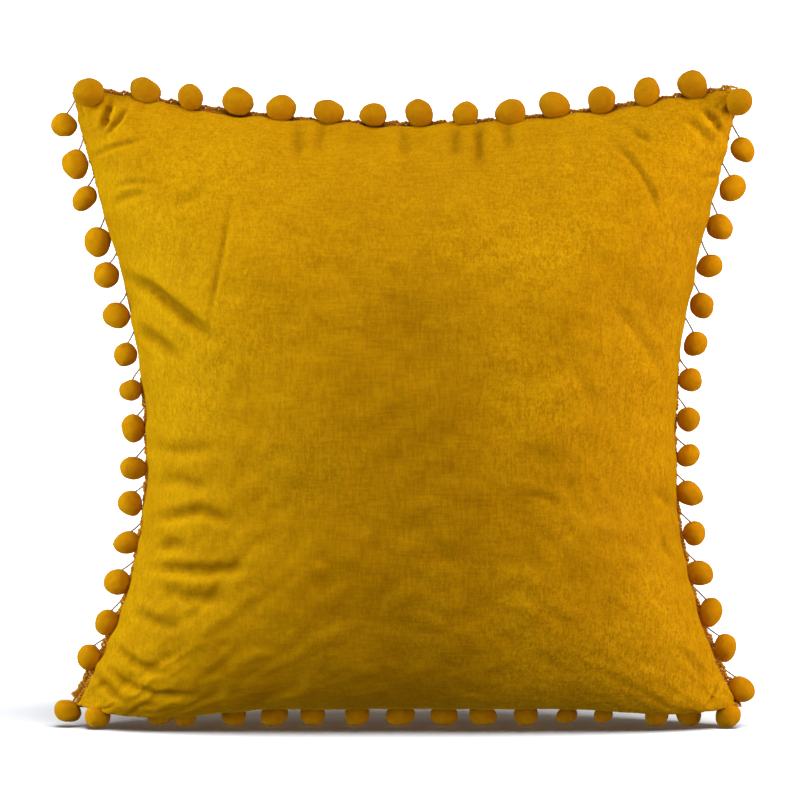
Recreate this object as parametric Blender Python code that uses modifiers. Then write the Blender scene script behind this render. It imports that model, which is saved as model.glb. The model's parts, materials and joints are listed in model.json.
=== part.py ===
"""A square velvet throw pillow that stands on one edge, with a row of felt pompoms sewn into its seam.

The cover is a front and a back panel. A braided trim runs round the seam between them. The pompoms of
its top and sides swing on their threads, and those of its bottom run are pressed flat under the pillow.
A zip crosses the underside of the back panel, and a loose insert fills the cover.
Front is -Y, up is +Z, and the origin is at the middle of the underside.
"""

import math

import bmesh
import bpy
from mathutils import Matrix, Vector

# Cover, filled: the seam's outline and the bulge of the panels
CORNER_HALF_WIDTH = 0.212
SEAM_BOTTOM = 0.015
SEAM_TOP = 0.409
LEFT_PULL = 0.0475
LEFT_SKEW = 1.40
RIGHT_PULL = 0.042
RIGHT_SKEW = 1.30
TOP_SAG = 0.0235
TOP_SAG_SHAPE = 1.25
THICKNESS = 0.165
FABRIC = 0.0012
SEAM_HALF_GAP = 0.0008
SIDE_FULLNESS = 4.0
HEIGHT_FULLNESS = 2.2
TOP_ROUNDNESS = 0.5
BASE_ROUNDNESS = 0.25
BASE_FLAT = 0.008
BASE_SLOPE = 0.08
PANEL_CELLS = 18

# Insert and fibre inside the cover
INSERT_EASE = 0.004
INSERT_FABRIC = 0.0006
FILL_CLEARANCE = 0.0008
INSERT_CELLS = 12

# Trim round the seam
BRAID_RADIUS = 0.001
BRAID_GAP = 0.0005
BRAID_STEPS = 20
BESIDE_STEPS = 400
POMPOM_RADIUS = 0.009
THREAD_RADIUS = 0.0007
THREAD_GAP = 0.0010
PERCHED_THREAD = 0.0008
CORNER_LEAN = 1.5
LEFT_CORNER_HANG = (0.0091, 0.0010, -0.0020)
RIGHT_CORNER_HANG = (0.0068, 0.0037, -0.0080)
SIDE_DROP = 0.013
BALL_CLEARANCE = 0.0010
POMPOM_SIDES = 8
POMPOM_RINGS = 5
TOP_COUNT = 13
TOP_FIRST = 0.046
TOP_LAST = 0.030
SIDE_COUNT = 15
LEFT_FIRST = 0.002
LEFT_LAST = 0.045
RIGHT_FIRST = 0.018
RIGHT_LAST = 0.026
BOTTOM_COUNT = 17
BOTTOM_FIRST = -0.217
BOTTOM_LAST = 0.2095
PRESSED_RADIUS = 0.0092
PRESSED_HEIGHT = 0.0138
PRESSED_FOOT = 0.0062

# Zip across the underside of the back panel
ZIP_HALF_LENGTH = 0.15
ZIP_SET_BACK = 0.0185
TAPE_WIDTH = 0.010
TAPE_THICKNESS = 0.0006
TAPE_LIFT = 0.0006
COIL_WIDTH = 0.0016
COIL_HEIGHT = 0.0016
COIL_HALF_GAP = 0.0006
STOP_LENGTH = 0.003
SLIDER_LENGTH = 0.011
SLIDER_WIDTH = 0.0085
SLIDER_PLATE = 0.0014
SLIDER_WEB = 0.0005
LUG_THICKNESS = 0.0009
LUG_LENGTH = 0.0026
LUG_HEIGHT = 0.0024
PULL_PIN_RADIUS = 0.0006
PULL_PIN_LENGTH = 0.0036
PULL_LENGTH = 0.018
PULL_WIDTH = 0.0045
PULL_THICKNESS = 0.0009
PULL_HOLE_RADIUS = 0.0011
FIT_GAP = 0.0003

# Blank care label, flat inside the cover in front of the seam
LABEL_LENGTH = 0.034
LABEL_WIDTH = 0.020
LABEL_THICKNESS = 0.0004
LABEL_SET_FORWARD = 0.018
LABEL_MIDDLE = -0.09

OVERLAP = 0.0002

VELVET = ("mustard_velvet", (0.62, 0.37, 0.012), 0.85, 0.0)
FELT = ("orange_felt", (0.60, 0.27, 0.006), 0.95, 0.0)
LINING = ("white_insert_cloth", (0.82, 0.81, 0.77), 0.9, 0.0)
FIBRE = ("polyester_fibre", (0.90, 0.90, 0.88), 1.0, 0.0)
ZIP_TAPE = ("zip_tape", (0.50, 0.28, 0.02), 0.9, 0.0)
ZIP_COIL = ("zip_coil", (0.55, 0.33, 0.05), 0.45, 0.0)
ZIP_METAL = ("zip_metal", (0.62, 0.49, 0.24), 0.35, 1.0)
LABEL = ("satin_label", (0.88, 0.87, 0.83), 0.6, 0.0)


def material(finish):
    """The material of a finish: its name, colour, roughness and metallic value."""
    name, colour, roughness, metallic = finish
    made = bpy.data.materials.get(name) or bpy.data.materials.new(name)
    made.use_nodes = True
    shader = made.node_tree.nodes["Principled BSDF"]
    shader.inputs["Base Color"].default_value = (*colour, 1.0)
    shader.inputs["Roughness"].default_value = roughness
    shader.inputs["Metallic"].default_value = metallic
    return made


def side_pull(side, height):
    """How far the left (side below 0) or right seam is drawn in at a height from 0 to 1."""
    pull, skew = (LEFT_PULL, LEFT_SKEW) if side < 0 else (RIGHT_PULL, RIGHT_SKEW)
    waist = 1 / (1 + skew)
    return pull * height * (1 - height) ** skew / (waist * (1 - waist) ** skew)


def outline_point(u, v, inset=0.0):
    """The point (x, z) of the seam's plane at u and v, each from -1 to 1, inside the seam by inset."""
    height = (v + 1) / 2
    half_width = CORNER_HALF_WIDTH - inset - side_pull(u, height)
    top = SEAM_TOP - inset - TOP_SAG * (1 - u * u) ** TOP_SAG_SHAPE
    bottom = SEAM_BOTTOM + inset
    above_base = max(height * BASE_SLOPE, (height - BASE_FLAT) / (1 - BASE_FLAT))
    return u * half_width, bottom + (top - bottom) * above_base


def base_fullness():
    """How square the base is across: SIDE_FULLNESS, or more where a long zip needs a wider flat."""
    base_depth = THICKNESS / 2 * (1 - (1 - 2 * BASE_FLAT) ** HEIGHT_FULLNESS) ** BASE_ROUNDNESS
    zip_depth = ZIP_SET_BACK + COIL_HALF_GAP + TAPE_WIDTH + FABRIC
    narrowing = 1 - (zip_depth / base_depth) ** 2
    return max(SIDE_FULLNESS, math.log(narrowing) / math.log(ZIP_HALF_LENGTH / CORNER_HALF_WIDTH))


def bulge(u, v):
    """The share of half the thickness at u and v: flatter under the pillow's own weight at the base."""
    roundness = BASE_ROUNDNESS if v < 0 else TOP_ROUNDNESS
    fullness = SIDE_FULLNESS + (base_fullness() - SIDE_FULLNESS) * max(0.0, -v)
    across = max(0.0, 1 - abs(u) ** fullness) ** 0.5
    upwards = max(0.0, 1 - abs(v) ** HEIGHT_FULLNESS) ** roundness
    return across * upwards


def skin(name, facing, inset, cells, half_gap):
    """An open sheet over one face of the pillow. facing is -1 for the front and 1 for the back."""
    grid = bmesh.new()
    bmesh.ops.create_grid(grid, x_segments=cells, y_segments=cells, size=1.0)
    for vertex in grid.verts:
        u = math.sin(vertex.co.x * math.pi / 2)
        v = math.sin(vertex.co.y * math.pi / 2)
        x, z = outline_point(u, v, inset)
        depth = half_gap + (THICKNESS / 2 - inset - half_gap) * bulge(u, v)
        vertex.co = Vector((x, facing * depth, z))
    if facing > 0:
        bmesh.ops.reverse_faces(grid, faces=grid.faces)
    mesh = bpy.data.meshes.new(name)
    grid.to_mesh(mesh)
    grid.free()
    return mesh


def place(name, mesh, finish, collection, location=(0, 0, 0)):
    made = bpy.data.objects.new(name, mesh)
    made.location = location
    if not mesh.materials:
        mesh.materials.append(material(finish))
    collection.objects.link(made)
    return made


def add_panel(name, facing, inset, wall, cells, finish, collection):
    """A cloth panel: the solid between two nested sheets over one face, closed along the rim."""
    shell = bmesh.new()
    shell.from_mesh(skin(name, facing, inset, cells, SEAM_HALF_GAP))
    count = len(shell.verts)
    inner = skin(name, facing, inset + wall, cells, SEAM_HALF_GAP)
    inner.flip_normals()
    shell.from_mesh(inner)
    shell.verts.ensure_lookup_table()
    shell.verts.index_update()
    rim = [edge for edge in shell.edges if edge.is_boundary and edge.verts[0].index < count]
    for edge in rim:
        corner = edge.link_loops[0]
        first, second = corner.vert, corner.link_loop_next.vert
        beyond = [shell.verts[vertex.index + count] for vertex in (first, second)]
        shell.faces.new((second, first, *beyond))
    mesh = bpy.data.meshes.new(name)
    shell.to_mesh(mesh)
    shell.free()
    mesh.shade_smooth()
    return place(name, mesh, finish, collection)


def box_mesh(name, size):
    solid = bmesh.new()
    bmesh.ops.create_cube(solid, size=1.0, matrix=Matrix.Diagonal((*size, 1.0)))
    mesh = bpy.data.meshes.new(name)
    solid.to_mesh(mesh)
    solid.free()
    return mesh


def add_box(name, low, high, finish, collection):
    """A box between two corners, with its origin at its middle."""
    low, high = Vector(low), Vector(high)
    return place(name, box_mesh(name, high - low), finish, collection, (low + high) / 2)


def add_helper(name, mesh, collection, location=(0, 0, 0)):
    helper = place(name, mesh, VELVET, collection, location)
    helper.hide_render = True
    helper.display_type = "WIRE"
    return helper


def combine(target, helper, operation):
    change = target.modifiers.new(helper.name, "BOOLEAN")
    change.operation = operation
    change.object = helper
    change.solver = "EXACT"


def turned_mesh(name, profile, sides, finish, helpers):
    """The mesh of a profile of (radius, height) points, from top to bottom, turned about Z."""
    outline = bpy.data.meshes.new(name + "_profile")
    points = [(radius, 0.0, height) for radius, height in profile]
    outline.from_pydata(points, [(i, i + 1) for i in range(len(points) - 1)], [])
    guide = add_helper(name + "_profile", outline, helpers)
    turn = guide.modifiers.new("turn", "SCREW")
    turn.steps = turn.render_steps = sides
    turn.use_merge_vertices = True
    turn.merge_threshold = 0.0001
    turn.use_smooth_shade = True
    bpy.context.view_layer.update()
    graph = bpy.context.evaluated_depsgraph_get()
    mesh = bpy.data.meshes.new_from_object(guide.evaluated_get(graph))
    mesh.name = name
    mesh.materials.clear()
    mesh.materials.append(material(finish))
    bpy.data.objects.remove(guide)
    return mesh


def hanging_profile(reach):
    """Thread and ball below a pivot at the origin. reach is the distance from it to the ball's middle."""
    neck = math.asin(THREAD_RADIUS / POMPOM_RADIUS)
    points = [(0.0, 0.0), (THREAD_RADIUS, 0.0)]
    for ring in range(POMPOM_RINGS):
        angle = neck + (math.pi - neck) * ring / POMPOM_RINGS
        points.append((POMPOM_RADIUS * math.sin(angle), POMPOM_RADIUS * math.cos(angle) - reach))
    points.append((0.0, -reach - POMPOM_RADIUS))
    return points


def pressed_profile():
    """A pompom pressed between the pillow and the floor, with its flat foot at height 0."""
    widest = PRESSED_HEIGHT / 2
    points = [(0.0, PRESSED_HEIGHT)]
    for ring in range(1, POMPOM_RINGS):
        angle = math.pi / 2 * ring / (POMPOM_RINGS - 1)
        points.append((PRESSED_RADIUS * math.sin(angle), widest + widest * math.cos(angle)))
    for ring in (1, 2):
        share = math.sin(math.pi / 4 * ring)
        radius = PRESSED_RADIUS - (PRESSED_RADIUS - PRESSED_FOOT) * (1 - math.cos(math.pi / 4 * ring))
        points.append((radius, widest * (1 - share)))
    points.append((0.0, 0.0))
    return points


def braid_points():
    """The middle line of the braid, once round the seam from the bottom left corner."""
    inset = -(BRAID_GAP + BRAID_RADIUS)
    steps = [-1 + 2 * i / BRAID_STEPS for i in range(BRAID_STEPS)]
    corners = (
        [(step, -1) for step in steps],
        [(1, step) for step in steps],
        [(-step, 1) for step in steps],
        [(-1, -step) for step in steps],
    )
    return [outline_point(u, v, inset) for side in corners for u, v in side]


def add_trim(collection, helpers):
    """The braid, one closed tube, joined with the pompoms that the pillow stands on."""
    path = bpy.data.curves.new("braid_path", "CURVE")
    path.dimensions = "3D"
    path.bevel_depth = BRAID_RADIUS
    path.bevel_resolution = 2
    spline = path.splines.new("POLY")
    points = braid_points()
    spline.points.add(len(points) - 1)
    for point, (x, z) in zip(spline.points, points):
        point.co = (x, 0.0, z, 1.0)
    spline.use_cyclic_u = True
    guide = bpy.data.objects.new("braid_path", path)
    collection.objects.link(guide)
    bpy.context.view_layer.update()
    graph = bpy.context.evaluated_depsgraph_get()
    mesh = bpy.data.meshes.new_from_object(guide.evaluated_get(graph))
    bpy.data.objects.remove(guide)
    mesh.materials.clear()
    trim = place("pompom_trim", mesh, FELT, collection)
    ball = turned_mesh("pressed_pompom", pressed_profile(), POMPOM_SIDES, FELT, helpers)
    pitch = (BOTTOM_LAST - BOTTOM_FIRST) / (BOTTOM_COUNT - 1)
    for i in range(BOTTOM_COUNT):
        x = BOTTOM_FIRST + pitch * i
        combine(trim, add_helper(f"pressed_pompom_{i + 1:02d}", ball, helpers, (x, 0, 0)), "UNION")
    return trim


def add_pompom(name, mesh, pivot, direction, collection):
    """A pompom whose origin is the root of its thread, turned so that it hangs along direction."""
    pompom = place(name, mesh, FELT, collection, pivot)
    pompom.rotation_mode = "QUATERNION"
    pompom.rotation_quaternion = Vector((0, 0, -1)).rotation_difference(direction)
    return pompom


def seam_share(height):
    """The outline's v, from -1 to 1, at a height above the floor."""
    return 2 * (height - SEAM_BOTTOM) / (SEAM_TOP - SEAM_BOTTOM) - 1


def beside_braid(side, height, next_root):
    """How far from the middle a ball at this height hangs, just clear of braid and next thread."""
    reach = POMPOM_RADIUS + BRAID_RADIUS + BALL_CLEARANCE
    beside = [(next_root, POMPOM_RADIUS + THREAD_RADIUS + BALL_CLEARANCE)]
    for step in range(BESIDE_STEPS):
        v = -1 + 2 * step / BESIDE_STEPS
        beside.append((outline_point(side, v, -(BRAID_GAP + BRAID_RADIUS)), reach))
    return max(
        abs(x) + math.sqrt(clear**2 - (z - height) ** 2)
        for (x, z), clear in beside
        if abs(z - height) < clear
    )


def add_top_pompoms(stand_off, collection, helpers):
    """Pompoms that perch on the top seam, and one that flops forwards over each corner."""
    profile = hanging_profile(PERCHED_THREAD + POMPOM_RADIUS)
    mesh = turned_mesh("perched_pompom", profile, POMPOM_SIDES, FELT, helpers)
    pitch = (2 * CORNER_HALF_WIDTH - TOP_FIRST - TOP_LAST) / (TOP_COUNT - 1)
    for i in range(TOP_COUNT):
        u = (TOP_FIRST + pitch * i) / CORNER_HALF_WIDTH - 1
        x, z = outline_point(u, 1, -stand_off)
        add_pompom(f"pompom_top_{i + 2:02d}", mesh, (x, 0, z), Vector((0, 0, 1)), collection)
    for number, u, hang in ((1, -1, LEFT_CORNER_HANG), (TOP_COUNT + 2, 1, RIGHT_CORNER_HANG)):
        name = f"pompom_top_{number:02d}"
        hang = Vector(hang) - Vector((0, CORNER_LEAN * POMPOM_RADIUS, 0))
        x, z = outline_point(u, 1, -stand_off)
        profile = hanging_profile(hang.length)
        mesh = turned_mesh(name, profile, POMPOM_SIDES, FELT, helpers)
        add_pompom(name, mesh, (x, 0, z), hang.normalized(), collection)


def add_side_pompoms(label, side, stand_off, collection, helpers):
    """Pompoms that hang down one side, each swinging about the root of its thread."""
    first, last = (LEFT_FIRST, LEFT_LAST) if side < 0 else (RIGHT_FIRST, RIGHT_LAST)
    pitch = (SEAM_TOP - SEAM_BOTTOM - first - last) / (SIDE_COUNT - 1)
    for i in range(SIDE_COUNT):
        height = SEAM_TOP - first - pitch * i
        root = outline_point(side, seam_share(height), -stand_off)[0]
        next_root = (outline_point(side, seam_share(height - pitch), -stand_off)[0], height - pitch)
        outward = beside_braid(side, height - SIDE_DROP, next_root) - abs(root)
        profile = hanging_profile(math.hypot(outward, SIDE_DROP))
        name = f"pompom_{label}_{i + 1:02d}"
        mesh = turned_mesh(name, profile, POMPOM_SIDES, FELT, helpers)
        direction = Vector((side * outward, 0, -SIDE_DROP)).normalized()
        add_pompom(name, mesh, (root, 0, height), direction, collection)


def zip_levels():
    """Heights of the zip's layers: the underside of its tapes, then the top and bottom of its coils."""
    tape_bottom = SEAM_BOTTOM + FABRIC + TAPE_LIFT
    coil_top = tape_bottom - FIT_GAP
    return tape_bottom, coil_top, coil_top - COIL_HEIGHT


def add_zip_chain(collection):
    """Two tapes inside the cover, each with its coil in the slit, and a stop past each end."""
    tape_bottom, coil_top, coil_bottom = zip_levels()
    for label, across in (("front", -1), ("back", 1)):
        for name, start, width, low, high, finish in (
            ("tape", COIL_HALF_GAP, TAPE_WIDTH, tape_bottom, tape_bottom + TAPE_THICKNESS, ZIP_TAPE),
            ("coil", COIL_HALF_GAP, COIL_WIDTH, coil_bottom, coil_top, ZIP_COIL),
        ):
            edges = sorted(ZIP_SET_BACK + across * offset for offset in (start, start + width))
            add_box(
                f"zipper_{name}_{label}",
                (-ZIP_HALF_LENGTH, edges[0], low),
                (ZIP_HALF_LENGTH, edges[1], high),
                finish,
                collection,
            )
    half_width = COIL_HALF_GAP + COIL_WIDTH
    for label, across in (("left", -1), ("right", 1)):
        start = ZIP_HALF_LENGTH + FIT_GAP
        ends = sorted(across * offset for offset in (start, start + STOP_LENGTH))
        add_box(
            f"zipper_stop_{label}",
            (ends[0], ZIP_SET_BACK - half_width, coil_bottom),
            (ends[1], ZIP_SET_BACK + half_width, coil_top),
            ZIP_METAL,
            collection,
        )


def cut_zip_slit(panel, helpers):
    """Opens the slit for the coils and their stops in the underside of the back panel."""
    half_width = COIL_HALF_GAP + COIL_WIDTH + FIT_GAP
    half_length = ZIP_HALF_LENGTH + STOP_LENGTH + 2 * FIT_GAP
    size = (2 * half_length, 2 * half_width, 10 * FABRIC)
    cutter = add_helper("zip_slit", box_mesh("zip_slit", size), helpers)
    cutter.location = (0, ZIP_SET_BACK, SEAM_BOTTOM + FABRIC / 2)
    combine(panel, cutter, "DIFFERENCE")


def pull_pivot():
    """The middle of the pull's pin, at the closed end of the zip."""
    coil_bottom = zip_levels()[2]
    plate_bottom = coil_bottom - FIT_GAP - SLIDER_PLATE
    x = ZIP_HALF_LENGTH - SLIDER_LENGTH / 2
    return Vector((x, ZIP_SET_BACK, plate_bottom - LUG_HEIGHT + PULL_PIN_RADIUS))


def add_slider(collection, helpers):
    """Outer plate, web between the coils, inner plate, and two lugs that hold the pull's pin."""
    tape_bottom, _, coil_bottom = zip_levels()
    outer_top = coil_bottom - FIT_GAP
    inner_bottom = tape_bottom + TAPE_THICKNESS + FIT_GAP
    high_x = ZIP_HALF_LENGTH
    low_x = high_x - SLIDER_LENGTH
    half_width = SLIDER_WIDTH / 2
    slider = add_box(
        "zipper_slider",
        (low_x, ZIP_SET_BACK - half_width, outer_top - SLIDER_PLATE),
        (high_x, ZIP_SET_BACK + half_width, outer_top),
        ZIP_METAL,
        collection,
    )

    def join(name, low, high):
        low, high = Vector(low), Vector(high)
        helper = add_helper(name, box_mesh(name, high - low), helpers, (low + high) / 2)
        combine(slider, helper, "UNION")

    join(
        "slider_web",
        (low_x + SLIDER_LENGTH / 4, ZIP_SET_BACK - SLIDER_WEB / 2, outer_top - OVERLAP),
        (high_x - SLIDER_LENGTH / 4, ZIP_SET_BACK + SLIDER_WEB / 2, inner_bottom + OVERLAP),
    )
    join(
        "slider_inner_plate",
        (low_x, ZIP_SET_BACK - half_width, inner_bottom),
        (high_x, ZIP_SET_BACK + half_width, inner_bottom + SLIDER_PLATE),
    )
    pivot = pull_pivot()
    near = PULL_PIN_LENGTH / 2 + FIT_GAP
    for label, across in (("front", -1), ("back", 1)):
        sides = sorted(ZIP_SET_BACK + across * offset for offset in (near, near + LUG_THICKNESS))
        join(
            f"slider_lug_{label}",
            (pivot.x - LUG_LENGTH / 2, sides[0], outer_top - SLIDER_PLATE - LUG_HEIGHT),
            (pivot.x + LUG_LENGTH / 2, sides[1], outer_top - SLIDER_PLATE + OVERLAP),
        )
    return slider


def add_pull(collection, helpers):
    """A flat pull tab on a pin. Its origin is on the pin's axis, and it lies along the closed zip."""
    pivot = pull_pivot()
    solid = bmesh.new()
    upright = Matrix.Rotation(math.pi / 2, 4, "X")
    bmesh.ops.create_cone(
        solid,
        segments=12,
        radius1=PULL_PIN_RADIUS,
        radius2=PULL_PIN_RADIUS,
        depth=PULL_PIN_LENGTH,
        cap_ends=True,
        matrix=upright,
    )
    mesh = bpy.data.meshes.new("zipper_pull")
    solid.to_mesh(mesh)
    solid.free()
    pull = place("zipper_pull", mesh, ZIP_METAL, collection, pivot)
    tab_low = Vector((-PULL_LENGTH, -PULL_WIDTH / 2, -PULL_THICKNESS / 2))
    neck = LUG_LENGTH / 2 + FIT_GAP
    tab_high = Vector((-neck, PULL_WIDTH / 2, PULL_THICKNESS / 2))
    tab = box_mesh("pull_tab", tab_high - tab_low)
    combine(pull, add_helper("pull_tab", tab, helpers, pivot + (tab_low + tab_high) / 2), "UNION")
    tongue_width = PULL_PIN_LENGTH / 2
    tongue = box_mesh("pull_tongue", (neck + OVERLAP, tongue_width, PULL_THICKNESS))
    middle = pivot - Vector(((neck + OVERLAP) / 2, 0, 0))
    combine(pull, add_helper("pull_tongue", tongue, helpers, middle), "UNION")
    hole = bmesh.new()
    bmesh.ops.create_cone(
        hole,
        segments=16,
        radius1=PULL_HOLE_RADIUS,
        radius2=PULL_HOLE_RADIUS,
        depth=4 * PULL_THICKNESS,
        cap_ends=True,
    )
    hole_mesh = bpy.data.meshes.new("pull_hole")
    hole.to_mesh(hole_mesh)
    hole.free()
    centre = pivot - Vector((PULL_LENGTH - PULL_WIDTH / 2, 0, 0))
    combine(pull, add_helper("pull_hole", hole_mesh, helpers, centre), "DIFFERENCE")
    return pull


def add_fill(collection):
    """The fibre inside the insert: one closed solid that follows the insert's inner face."""
    inset = FABRIC + INSERT_EASE + INSERT_FABRIC + FILL_CLEARANCE
    solid = bmesh.new()
    for facing in (-1, 1):
        solid.from_mesh(skin("fibre_half", facing, inset, INSERT_CELLS, 0.0))
    bmesh.ops.remove_doubles(solid, verts=solid.verts, dist=0.00001)
    mesh = bpy.data.meshes.new("fibre_fill")
    solid.to_mesh(mesh)
    solid.free()
    mesh.shade_smooth()
    return place("fibre_fill", mesh, FIBRE, collection)


def add_label(collection):
    """A blank label that lies on the inner face of the cover's base."""
    low_z = zip_levels()[0]
    add_box(
        "care_label",
        (LABEL_MIDDLE - LABEL_LENGTH / 2, -LABEL_SET_FORWARD - LABEL_WIDTH / 2, low_z),
        (LABEL_MIDDLE + LABEL_LENGTH / 2, -LABEL_SET_FORWARD + LABEL_WIDTH / 2, low_z + LABEL_THICKNESS),
        LABEL,
        collection,
    )


def main():
    for old in list(bpy.data.objects):
        bpy.data.objects.remove(old, do_unlink=True)
    pillow = bpy.data.collections.new("throw_pillow")
    helpers = bpy.data.collections.new("helpers")
    for collection in (pillow, helpers):
        bpy.context.scene.collection.children.link(collection)

    add_panel("cover_front_panel", -1, 0.0, FABRIC, PANEL_CELLS, VELVET, pillow)
    back = add_panel("cover_back_panel", 1, 0.0, FABRIC, PANEL_CELLS, VELVET, pillow)
    cut_zip_slit(back, helpers)
    loose = FABRIC + INSERT_EASE
    add_panel("insert_front_panel", -1, loose, INSERT_FABRIC, INSERT_CELLS, LINING, pillow)
    add_panel("insert_back_panel", 1, loose, INSERT_FABRIC, INSERT_CELLS, LINING, pillow)
    add_fill(pillow)
    add_label(pillow)
    add_trim(pillow, helpers)
    stand_off = BRAID_GAP + 2 * BRAID_RADIUS + THREAD_GAP
    add_top_pompoms(stand_off, pillow, helpers)
    for label, side in (("left", -1), ("right", 1)):
        add_side_pompoms(label, side, stand_off, pillow, helpers)
    add_zip_chain(pillow)
    add_slider(pillow, helpers)
    add_pull(pillow, helpers)


main()
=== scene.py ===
"""Looks of the throw pillow: velvet cover, braid, felt pompoms, zip and insert, around the CAD frame.

Metres throughout. Front is -Y, up is +Z, and the floor is at Z = 0.
"""

import json
import math

import bmesh
import bpy
import numpy as np
from mathutils import Matrix, Vector, noise


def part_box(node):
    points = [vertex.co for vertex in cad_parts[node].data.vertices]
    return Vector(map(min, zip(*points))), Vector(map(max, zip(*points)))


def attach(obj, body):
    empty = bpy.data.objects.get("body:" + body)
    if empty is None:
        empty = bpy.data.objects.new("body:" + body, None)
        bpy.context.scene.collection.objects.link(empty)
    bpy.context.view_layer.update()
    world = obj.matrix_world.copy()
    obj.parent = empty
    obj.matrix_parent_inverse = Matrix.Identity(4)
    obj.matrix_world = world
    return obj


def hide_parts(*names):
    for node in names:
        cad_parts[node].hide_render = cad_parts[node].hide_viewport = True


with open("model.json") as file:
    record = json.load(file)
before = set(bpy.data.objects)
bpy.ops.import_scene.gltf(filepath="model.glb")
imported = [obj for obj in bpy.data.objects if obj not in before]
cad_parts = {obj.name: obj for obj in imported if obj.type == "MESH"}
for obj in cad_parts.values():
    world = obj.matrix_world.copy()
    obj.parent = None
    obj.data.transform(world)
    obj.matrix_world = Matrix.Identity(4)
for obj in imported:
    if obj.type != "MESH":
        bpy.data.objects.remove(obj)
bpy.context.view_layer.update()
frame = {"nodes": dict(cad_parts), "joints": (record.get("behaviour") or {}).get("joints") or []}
pivots = {joint["child"]: joint["pos_m"] for joint in frame["joints"] if "pos_m" in joint}
perches = [pivots[f"pompom_top_{number:02d}"][0] for number in range(2, 15)]

# The seam's outline and the bulge of the cover, as the CAD model has them
CORNER_HALF_WIDTH = 0.212
SEAM_BOTTOM = 0.015
SEAM_TOP = 0.409
LEFT_PULL, LEFT_SKEW = 0.0475, 1.40
RIGHT_PULL, RIGHT_SKEW = 0.042, 1.30
TOP_SAG, TOP_SAG_SHAPE = 0.0235, 1.25
THICKNESS = 0.165
SEAM_HALF_GAP = 0.0008
FABRIC = 0.0012
BASE_FLAT, BASE_SLOPE = 0.008, 0.08
INSERT_INSET = 0.0052
INSERT_FABRIC = 0.0006
FILL_INSET = 0.0066

# The cloth
FLAT_SIZE = 0.456
SIM_CELLS = 80
SIM_FRAMES = 20
PANEL_CELLS = 220
INNER_CELLS = 72
SEAM_ROLL = 0.0036
TOP_ROLL = 0.0062
ROLL_REACH = 0.055
PERCH_WIDTH = 0.0085  # how far along the top seam a perched pompom presses the cover down
PERCH_SHARE = 0.28
BASE_REACH = 0.16  # how far up, in cloth coordinates, the base holds the cloth still
CALM_X, CALM_Z, CALM_REACH = 0.15, 0.06, 0.08  # where the front lies smoother than pressure leaves it

POMPOM_RADIUS = 0.009
PRESSED_RADIUS, TUCKED_RADIUS = 0.0086, 0.0062
YARN_RADIUS = 0.00055
PERCH_FORWARD = 0.0070  # how much nearer the front the perched pompoms sit than the CAD's
RIGHT_CORNER_SHIFT = (-0.0080, -0.0030, 0)
PILLOW = "pillow"


# ---------------------------------------------------------------- shape of the cover


def side_pull(pull, skew, height):
    waist = 1 / (1 + skew)
    return pull * height * (1 - height) ** skew / (waist * (1 - waist) ** skew)


def outline(u, v, inset=0.0):
    """The seam's plane: x and z at u and v, each from -1 to 1."""
    height = (v + 1) / 2
    left = side_pull(LEFT_PULL, LEFT_SKEW, height)
    right = side_pull(RIGHT_PULL, RIGHT_SKEW, height)
    half_width = CORNER_HALF_WIDTH - inset - np.where(u < 0, left, right)
    top = SEAM_TOP - inset - TOP_SAG * np.maximum(0, 1 - u * u) ** TOP_SAG_SHAPE
    bottom = SEAM_BOTTOM + inset
    above = np.maximum(height * BASE_SLOPE, (height - BASE_FLAT) / (1 - BASE_FLAT))
    return u * half_width, bottom + (top - bottom) * above


def bulge(u, v):
    roundness = np.where(v < 0, 0.25, 0.5)
    across = np.maximum(0, 1 - np.abs(u) ** 4) ** 0.5
    return across * np.maximum(0, 1 - np.abs(v) ** 2.2) ** roundness


def eased(share):
    """A smooth step from 0 to 1."""
    share = np.clip(share, 0, 1)
    return share * share * (3 - 2 * share)


def cells_of(count):
    """Cloth coordinates s and t of a square grid, each from -1 to 1."""
    steps = np.linspace(-1, 1, count + 1)
    return np.meshgrid(steps, steps, indexing="ij")


def filled(s, t, inset=0.0):
    """The front half of the filled pillow over cloth coordinates s and t."""
    u, v = np.sin(s * np.pi / 2), np.sin(t * np.pi / 2)
    x, z = outline(u, v, inset)
    y = -(SEAM_HALF_GAP + (THICKNESS / 2 - inset - SEAM_HALF_GAP) * bulge(u, v))
    return np.stack([x, y, z], -1)


def grid_faces(count):
    index = np.arange((count + 1) ** 2).reshape(count + 1, count + 1)
    corners = [index[:-1, :-1], index[1:, :-1], index[1:, 1:], index[:-1, 1:]]
    return np.stack(corners, -1).reshape(-1, 4)


def rim_of(count):
    """The grid's outer points in order, once round."""
    index = np.arange((count + 1) ** 2).reshape(count + 1, count + 1)
    return np.concatenate([index[:-1, 0], index[-1, :-1], index[:0:-1, -1], index[0, :0:-1]])


def normals_of(points):
    along, up = np.gradient(points, axis=0), np.gradient(points, axis=1)
    normal = np.cross(along, up)
    return normal / np.maximum(np.linalg.norm(normal, axis=-1, keepdims=True), 1e-9)


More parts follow.
